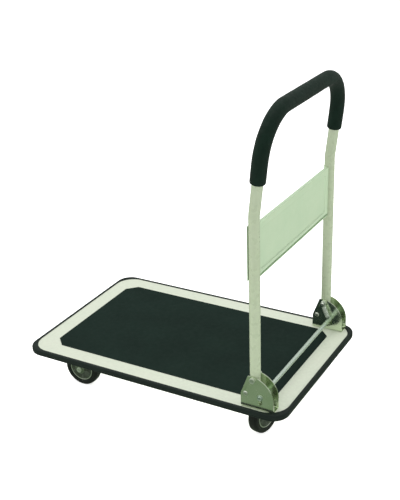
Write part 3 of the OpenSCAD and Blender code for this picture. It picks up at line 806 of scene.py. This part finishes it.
def post_stations():
    """The left post from its foot to the end of its bend."""
    cut = BEND_R * math.tan(LEAN / 2)
    made = [(np.array([POST_X, -POST_Y, tube_low_corner[2]]), lean_up(0), lean_normal(0))]
    for angle in np.linspace(0, LEAN, BEND_STEPS + 1):
        height = BEND_Z - cut + BEND_R * math.sin(angle)
        point = np.array([POST_X + BEND_R * (1 - math.cos(angle)), -POST_Y, height])
        made.append((point, lean_up(angle), lean_normal(angle)))
    return made


def corner_stations(steps):
    """The left top corner."""
    made = []
    for angle in np.linspace(0, math.pi / 2, steps + 1):
        y = -POST_Y + CORNER_R * (1 - math.cos(angle))
        along = LEAN_LENGTH - CORNER_R * (1 - math.sin(angle))
        direction = math.cos(angle) * lean_up(LEAN) + np.array([0, math.sin(angle), 0])
        made.append((upper_point(y, along), direction, lean_normal(LEAN)))
    return made


def whole(half):
    """Adds the other half of the handle's path, from the middle back down."""
    return half + [(p * [1, -1, 1], d * [-1, 1, -1], n) for p, d, n in reversed(half)]


def handle_tube():
    """One bent tube: both posts and the top."""
    path = whole(post_stations() + corner_stations(28))
    sides = 48
    outside = swept(path, [TUBE_R] * len(path), sides)
    inside = swept(path, [TUBE_R - TUBE_WALL] * len(path), sides)
    piece("handle_bent_tube", loft(outside + inside[::-1], True, True), "handle_paint",
          "handle", ["handle_tube"], sharp=50)


def foam_grip():
    """Foam sleeve: rounded ends, a slight unevenness and soft creases inside the corners."""
    radius, tail, round_end, sides = 17.8, 49.0, 5.5, 56
    lumps = (26, 0.28), (7, 0.07)
    crease_depth, crease_turn, squash = 0.35, 1.55, 0.25
    straight = []
    start = LEAN_LENGTH - CORNER_R - tail
    places = [round_end * (1 - math.cos(a)) for a in np.linspace(0, math.pi / 2, 7)]
    places += list(np.linspace(round_end, tail, 8))[1:-1]
    for s in places:
        straight.append((upper_point(-POST_Y, start + s), lean_up(LEAN), lean_normal(LEAN)))
    corners = corner_stations(36)
    middle = upper_point(0, LEAN_LENGTH)
    top = []
    for share in np.linspace(0, 1, 12)[1:]:
        point = corners[-1][0] * (1 - share) + middle * share
        top.append((point, corners[-1][1], corners[-1][2]))
    half = straight + corners + top
    radii = [radius - round_end + math.sqrt(max(round_end ** 2 - (round_end - s) ** 2, 0))
             if s < round_end else radius for s in places]
    radii += [radius] * (len(half) - len(radii))
    path, sizes = whole(half[:-1]), radii[:-1] + radii[:-1][::-1]
    outer = np.array(swept(path, sizes, sides))
    count = len(path)
    for i in range(count):
        from_end = min(i, count - 1 - i)
        share = (from_end - len(straight)) / (len(corners) - 1)
        bend = math.sin(math.pi * share) if 0 <= share <= 1 else 0.0
        wrinkle = bend * (crease_depth * math.sin(from_end * crease_turn) - squash)
        for j in range(sides):
            point = outer[i][j]
            outward = (point - path[i][0]) / np.linalg.norm(point - path[i][0])
            lump = sum(noise.noise(Vector(point / size)) * height for size, height in lumps)
            inner_side = max(0.0, -math.sin(2 * math.pi * j / sides))
            crease = wrinkle * inner_side ** 2
            outer[i][j] = point + outward * (lump + crease) * min(1.0, from_end / 6)
    inner = swept(path, [TUBE_R + 0.05] * count, sides)
    obj = piece("foam_sleeve", loft(list(outer) + inner[::-1], True, True), "grip_foam",
                "handle", ["foam_grip"], sharp=60)


def smoothstep(value):
    """0 below 0, 1 above 1, and a smooth rise between."""
    value = min(1.0, max(0.0, value))
    return value * value * (3 - 2 * value)


def handle_panel():
    """Pressed panel: a recessed field with soft corners, folded edges and half-round ends."""
    low, high = span("handle_panel")
    sheet, recess, border, lip, fold = 1.2, 2.5, 14.0, 8.0, 1.9
    step, soft, hem_deep, flange, swell = 3.2, 9.0, 9.6, 8.5, 0.35
    bottom, top = low[2], high[2]
    face_x = POST_X + 2.6 - sheet / 2
    half_y = POST_Y - 13.2
    field_y, field_low, field_high = half_y - border, bottom + border, top - border

    def depth(y, z):
        """How far the pressed field lies behind the border."""
        inside_y = field_y - abs(y)
        inside_z = min(z - field_low, field_high - z)
        if inside_y < soft and inside_z < soft:
            distance = soft - math.hypot(soft - inside_y, soft - inside_z)
        else:
            distance = min(inside_y, inside_z)
        return recess * smoothstep(distance / step) - swell * smoothstep(distance / 60)

    edge_steps = np.concatenate([np.linspace(-0.6, 4.2, 9), np.linspace(5.2, 11, 6)])
    inner_y = [half_y, half_y - 5, *(field_y - edge_steps), *np.linspace(field_y - 16, 0, 12)]
    ys = [-y for y in inner_y] + inner_y[::-1][1:]
    mid_z = [*(field_low + edge_steps), *np.linspace(field_low + 15, field_high - 15, 12),
             *(field_high - edge_steps)[::-1]]
    half_sheet = sheet / 2
    edge = [(face_x - lip + half_sheet, half_sheet), (face_x - fold, half_sheet)]
    for angle in np.radians([22.5, 45, 67.5, 90]):
        edge.append((face_x - fold * (1 - math.sin(angle)), half_sheet + fold * (1 - math.cos(angle))))
    # the lower hem, as depth behind the face and height over the bottom
    hem = [(lip - half_sheet, 0.6), (1.0, 0.6), (0.0, 0.9), (0.0, 1.7), (1.0, 2.1),
           (hem_deep - 0.7, 2.2), (hem_deep, 2.9), (hem_deep, 6.3), (hem_deep - 0.7, 7.0),
           (0.7, 7.1), (0.0, 7.7)]
    profile = [(face_x - behind, bottom + z) for behind, z in hem]
    profile += [(face_x, z) for z in mid_z]
    profile += [(x, top - z) for x, z in reversed(edge)]
    grid = [[(x - (depth(y, z) if field_low < z < field_high and abs(y) < field_y else 0), y, z)
             for x, z in profile] for y in ys]
    parts = [sheet_metal(grid, sheet)]
    saddle = TUBE_R + sheet / 2 + 0.04
    first = math.atan2(-math.sqrt(saddle ** 2 - 2.0 ** 2), 2.0)
    wrap = [saddle * np.array([math.cos(a), math.sin(a)]) for a in np.linspace(first, -math.pi, 22)]
    wrap += [np.array([-saddle, y]) for y in np.linspace(0, flange, 7)[1:]]
    heights = np.linspace(bottom + 0.05, top - 0.05, 4)
    for side in (LEFT, RIGHT):
        rows = [[(POST_X + x, side * (POST_Y + y), z) for z in heights] for x, y in wrap]
        parts.append(sheet_metal(rows, sheet))
    piece("handle_pressed_panel", together(*parts), "panel_paint", "handle",
          ["handle_panel"], bevel=0.22)


# ---------------- casters

FORK_SHEET, FORK_GAP, FORK_BEND = 2.5, 31.0, 4.5
BOSS_R, TYRE_R, PLATE_THICK = 13.0, 50.0, 3


def leg_edge(z, corner, axle, side):
    """Where a fork leg's edge is at a height: its boss's circle, then the line to its top corner."""
    away = np.array(corner) - axle
    turn = math.atan2(away[1], away[0]) + side * math.acos(BOSS_R / np.linalg.norm(away))
    touch = axle + BOSS_R * np.array([math.cos(turn), math.sin(turn)])
    if z >= touch[1]:
        share = (z - touch[1]) / (corner[1] - touch[1])
        return touch[0] + share * (corner[0] - touch[0])
    return axle[0] - side * math.sqrt(max(BOSS_R ** 2 - (z - axle[1]) ** 2, 0.0))


def u_fork(front, rear, top, axle_x):
    """Fork bent from one sheet, in its own (x forwards, y across) frame: legs, bends and crown."""
    axle = np.array([axle_x, TYRE_R])
    wide = (FORK_GAP + FORK_SHEET) / 2
    bend_z, rib_depth, across_steps = top - FORK_BEND, 1.6, 14

    def row(y, z, height, dish=0.0):
        first = leg_edge(height, (front, top), axle, 1)
        last = leg_edge(height, (rear, top), axle, -1)
        line = []
        for share in np.linspace(0, 1, across_steps + 1):
            ridge = dish * smoothstep(1 - abs(2 * share - 1) * 1.7)
            line.append((first + (last - first) * share, y - math.copysign(ridge, y), z))
        return line

    heights = [TYRE_R - BOSS_R * math.cos(a) for a in np.linspace(0, math.pi / 2, 12)]
    heights += list(np.linspace(TYRE_R, bend_z, 14))[1:]
    rows = []
    for z in heights:
        rib = rib_depth * smoothstep((z - TYRE_R - 10) / 12) * smoothstep((bend_z - z) / 12)
        rows.append(row(-wide, z, z, rib))
    for a in np.radians([18, 36, 54, 72, 90]):
        rows.append(row(-wide + FORK_BEND * (1 - math.cos(a)), bend_z + FORK_BEND * math.sin(a), top))
    other = [[(x, -y, z) for x, y, z in line] for line in reversed(rows)]
    return sheet_metal(rows + other, FORK_SHEET)


def placed(shape, origin, turn):
    """A shape drawn about the origin, moved to its caster."""
    points, faces = shape
    cos, sin = math.cos(turn), math.sin(turn)
    spin = np.array([[cos, -sin, 0], [sin, cos, 0], [0, 0, 1]])
    return points @ spin.T + np.array([origin[0], origin[1], 0]), faces


def mounting_plate(low, high):
    """The plate at the top of a caster whose lowest and highest corners are known."""
    half_x, half_y = (high[:2] - low[:2]) / 2
    corners = [(half_x, half_y), (-half_x, half_y), (-half_x, -half_y), (half_x, -half_y)]
    outline = rounded(corners, 9, 5)
    rings = [[(x, y, z) for x, y in outline] for z in (high[2] - PLATE_THICK, high[2])]
    return capped(rings)


def fixed_caster(name):
    """Fork with its mounting plate in one piece."""
    low, high = span(name + "_front_fork")
    centre = (low + high) / 2
    fork = u_fork(-28, 28, high[2] - PLATE_THICK - FORK_SHEET / 2, 0)
    shape = together(fork, mounting_plate(low, high))
    piece(name + "_front_fork_pressed", placed(shape, centre, 0), "fork_zinc", "frame",
          [name + "_front_fork"], bevel=0.4)


def swivel_caster(name):
    """Swivel head and fork, turned as its joint's wheel axis says."""
    king, _ = joint(name + "_swivel")
    _, wheel_axis = joint(name + "_rear_wheel_spin")
    turn = math.atan2(-wheel_axis[0], wheel_axis[1])
    crown_low, crown_top, crown_r, race_r, fork_hole, plate_hole = 104.2, 107.2, 28, 25.0, 5.1, 5.05
    race_top = span(name + "_rear_fork")[1][2]
    race = rounded([
        (fork_hole, crown_low), (crown_r, crown_low), (crown_r, crown_top),
        (race_r, crown_top + 0.4), (race_r, race_top), (race_r - 2.2, race_top),
        (race_r - 2.6, crown_top + 0.3), (fork_hole, crown_top + 0.3),
    ], [0, 1.0, 1.2, 1.0, 0.8, 0.8, 1.5, 0], 4)
    fork = u_fork(-20, 33, crown_top - FORK_SHEET / 2 - 0.2, 25)
    shape = together(fork, lathe(race, np.zeros(3), UP, 72))
    piece(name + "_rear_fork_pressed", placed(shape, king, turn), "fork_zinc", name + "_swivel",
          [name + "_rear_fork"], bevel=0.3)
    low, high = span(name + "_rear_top_plate")
    cup_top = high[2] - PLATE_THICK + 0.1
    cup = rounded([
        (plate_hole, low[2] + 0.05), (16, low[2] + 0.05), (19, low[2] + 1.2), (22.4, low[2]),
        (race_r, low[2]), (race_r, low[2] + 2.6), (race_r - 3.5, cup_top), (plate_hole, cup_top),
    ], [0, 1, 1, 0.5, 1.2, 1.2, 2.0, 0], 4)
    shape = together(lathe(cup, np.zeros(3), UP, 72), mounting_plate(low, high))
    piece(name + "_rear_top_plate_pressed", placed(shape, king, 0), "fork_zinc", "frame",
          [name + "_rear_top_plate"], bevel=0.4)


def tyre_section():
    """Rubber tyre in section: beads at the rim, flat sidewalls and a crowned tread between grooves."""
    half = [
        (34.5, 11.3), (36.2, 12.9), (37.6, 13.1), (38.2, 12.7), (39.2, 12.75), (40.0, 13.4),
        (44.2, 13.5), (47.2, 12.4), (49.0, 10.3), (49.35, 9.5), (48.75, 9.15), (48.75, 8.65),
        (49.6, 8.3), (49.86, 5.0), (50.0, 1.5),
    ]
    outline = half + [(r, -a) for r, a in reversed(half)]
    return rounded(outline, [0.4] + [0.45] * (len(outline) - 2) + [0.4], 2)


def core_section(angle):
    """Wheel core in section at an angle: hub, ribbed dish and a rolled rim."""
    ribs, web_half, rib_high = 6, 3.2, 4.6
    rib = smoothstep(1 - abs(((angle * ribs / (2 * math.pi)) % 1) - 0.5) * 6.0)
    web = web_half + rib_high * rib
    half = [
        (6.05, 13.6), (6.6, 14.0), (10.6, 14.0), (11.6, web + 1.2), (13.5, web),
        (28.5, web), (31.2, 10.2), (32.4, 11.9), (34.3, 11.9), (34.5, 11.2),
    ]
    radii = [0.2, 0.3, 0.8, 1.2, 1.5, 2.4, 2.0, 0.5, 0.4, 0.1]
    outline = half + [(r, -a) for r, a in reversed(half)]
    return rounded(outline, radii + radii[::-1], 3)


def wheel(name, body):
    """Tyre, core and bush. The core's rolled edge is bright."""
    bright_r, bright_side = 32.0, 10.8
    centre, axis = joint(body + "_spin")
    piece(name + "_tyre_moulded", lathe(tyre_section(), centre, axis, 120), "tyre_rubber", body,
          [name + "_tyre"], sharp=60)
    core = piece(name + "_rim_dished", lathe(core_section, centre, axis, 120), "wheel_core", body,
                 [name + "_rim"], sharp=50)
    core.data.materials.append(LOOKS["fastener_zinc"])
    for face in core.data.polygons:
        offset = np.array(face.center) / MM - centre
        distance = offset @ axis
        radius = np.linalg.norm(offset - distance * axis)
        if radius > bright_r and abs(distance) > bright_side:
            face.material_index = 1
    from_cad(name + "_bush", 0.3)


# ---------------- building

for cad_node in ("deck_plate", "front_cross_member", "rear_cross_member"):
    from_cad(cad_node, 0.6)
edge_bumper()
anti_slip_mat()
for cad_node in ("left_bracket", "right_bracket"):
    from_cad(cad_node, 0.45)
for cad_node in ("stop_bushes", "pivot_bushes", "lock_bar", "post_end_plugs"):
    from_cad(cad_node, 0.35)
for joined, bolt_axis, thread_length in (("bracket", UP, 9), ("pivot", ALONG_Y, 16), ("caster", UP, 9)):
    bolts(joined + "_bolts", bolt_axis, "frame", thread_length)
    nuts(joined + "_nuts", bolt_axis, "frame")
stop_rivets()
bar_clips()
handle_tube()
foam_grip()
handle_panel()
for side_name in ("left", "right"):
    lock_spring(side_name)
    fixed_caster(side_name)
    swivel_caster(side_name)
    wheel(side_name + "_front", side_name + "_front_wheel")
    wheel(side_name + "_rear", side_name + "_rear_wheel")
    from_cad(side_name + "_rear_kingpin", 0.5)
    from_cad(side_name + "_rear_balls", 0.0001, 80)
    for end, carrier in (("front", "frame"), ("rear", side_name + "_swivel")):
        axle_axis = joint(f"{side_name}_{end}_wheel_spin")[1]
        bolts(f"{side_name}_{end}_axle", axle_axis, carrier)
        nuts(f"{side_name}_{end}_axle_nut", axle_axis, carrier)


# ---------------- stage, light and camera

def level_square(name, half, height):
    """A square sheet that lies level, in metres."""
    mesh = bpy.data.meshes.new(name)
    corners = [(-half, -half), (half, -half), (half, half), (-half, half)]
    mesh.from_pydata([(x, y, height) for x, y in corners], [], [(0, 1, 2, 3)])
    return add_object(name, mesh)


def stage_floor():
    """Plain floor, lit a little from within so that it stays nearly white in the shadows."""
    floor = level_square("floor", 9.0, 0.0)
    look = Look("floor")
    cloud = look.remap(look.noise(900, 3), 0, 1)
    tone = look.mix(cloud, (0.90, 0.90, 0.89), (0.92, 0.92, 0.92))
    look.finish(
        tone, 0.7,
        Specular_IOR_Level=0.1, Emission_Color=(1, 1, 1, 1), Emission_Strength=0.75,
    )
    floor.data.materials.append(look.material)


def painted_reflection_card():
    """A glowing grey-green sheet lying on the studio floor that shows only in shiny surfaces: a painted
    reflection of a darker floor.
    """
    card = level_square("painted_reflection_card", 6.0, 0.0005)
    look = Look("painted_reflection_card")
    cloud = look.remap(look.noise(300, 3), 0, 1)
    tone = look.mix(cloud, (0.165, 0.225, 0.15), (0.27, 0.33, 0.24))
    look.finish((0, 0, 0, 1), 1.0, Emission_Color=tone, Specular_IOR_Level=0.0, Emission_Strength=1.0)
    card.data.materials.append(look.material)
    card.visible_camera = False
    card.visible_diffuse = False
    card.visible_shadow = False
    card.visible_transmission = False


def area_light(name, place, target, size, power):
    """A soft rectangular light that points at a target."""
    data = bpy.data.lights.new(name, "AREA")
    data.shape = "RECTANGLE"
    data.size, data.size_y = size
    data.energy = power
    light = add_object(name, data)
    light.location = place
    light.rotation_euler = (Vector(target) - Vector(place)).to_track_quat("-Z", "Y").to_euler()


def studio_world():
    """White surroundings that are dimmer low down."""
    world = bpy.data.worlds.new("studio")
    world.use_nodes = True
    tree = world.node_tree
    background = tree.nodes["Background"]
    place = add_node(tree, "ShaderNodeTexCoord").outputs["Generated"]
    height = add_node(tree, "ShaderNodeSeparateXYZ", {0: place}).outputs["Z"]
    limits = {"From Min": -0.15, "From Max": 0.75, "To Min": 0.42, "To Max": 0.72}
    ramp = add_node(tree, "ShaderNodeMapRange", {"Value": height, **limits}).outputs[0]
    seen = add_node(tree, "ShaderNodeLightPath").outputs["Is Camera Ray"]
    strength = add_node(tree, "ShaderNodeMix", {0: seen, 2: ramp, 3: 1.0}).outputs[0]
    join(tree, background, "Strength", strength)
    join(tree, background, "Color", (1, 1, 1, 1))
    bpy.context.scene.world = world


def photo_camera():
    """Camera at the left of the handle end, looking down along the deck."""
    yaw, pitch, roll = math.radians(30.07), math.radians(24.53), math.radians(-2.0)
    target, distance = np.array([-0.25478, 0.49416, 0.135]), 3.022
    right = np.array([math.cos(yaw), math.sin(yaw), 0.0])
    level = np.array([math.sin(yaw), -math.cos(yaw), 0.0])
    back = math.cos(pitch) * level + math.sin(pitch) * UP
    up = np.cross(back, right)
    rolled_right = math.cos(roll) * right + math.sin(roll) * up
    rolled_up = -math.sin(roll) * right + math.cos(roll) * up
    place = target + back * distance
    data = bpy.data.cameras.new("camera")
    data.lens, data.sensor_width = 68.328, 36
    camera = add_object("camera", data)
    rows = [[rolled_right[i], rolled_up[i], back[i], place[i]] for i in range(3)] + [[0, 0, 0, 1]]
    camera.matrix_world = Matrix(rows)
    bpy.context.scene.camera = camera


stage_floor()
# a glowing sheet seen only in shiny surfaces, a painted reflection of a darker floor
painted_reflection_card()
studio_world()
area_light("overhead", (-0.3, 0.4, 3.2), (0, 0, 0.2), (3.0, 2.4), 42)
area_light("side", (-3.0, -1.6, 1.8), (0, 0, 0.3), (1.6, 1.6), 14)
area_light("handle_end", (3.2, 1.4, 1.5), (0.2, 0, 0.6), (1.6, 1.6), 9)
photo_camera()
bpy.context.scene.view_settings.view_transform = "Standard"
